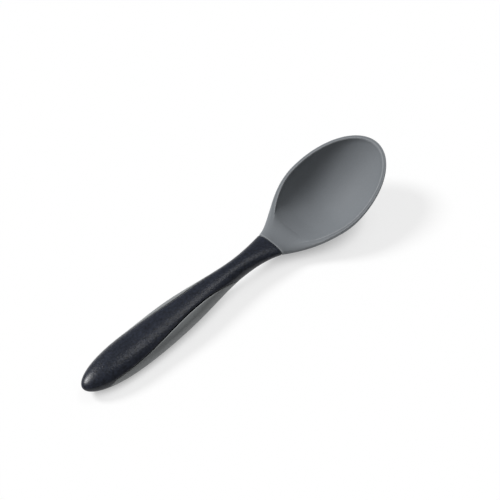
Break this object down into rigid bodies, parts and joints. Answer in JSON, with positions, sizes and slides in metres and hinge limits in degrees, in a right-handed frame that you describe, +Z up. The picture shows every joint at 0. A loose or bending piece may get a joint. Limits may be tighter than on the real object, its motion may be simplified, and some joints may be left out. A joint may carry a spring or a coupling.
{
  "type": "silicone cooking spoon",
  "caption": "Cooking spoon with a deep egg-shaped silicone bowl over a stiff inner frame, and a dark moulded handle with a soft grip skin on its flanks and belly.",
  "frame": {"origin": "on the table, under the middle of the spoon's length and width", "axes": "+X from the handle's tail to the bowl's tip, +Z up out of the table the spoon lies on"},
  "size_m": [0.285, 0.0676, 0.042],
  "materials": {
    "bowl_silicone": "satin grey moulded silicone",
    "handle_nylon": "fine spark-eroded texture, very dark blue grey",
    "grip_soft": "matte grey soft-touch skin",
    "frame_nylon": "plain dark glass-filled nylon"
  },
  "bodies": {
    "root": {"core_frame": "frame_nylon", "silicone_head": "bowl_silicone", "handle_body": "handle_nylon", "grip_inlay": "grip_soft"}
  },
  "joints": []
}
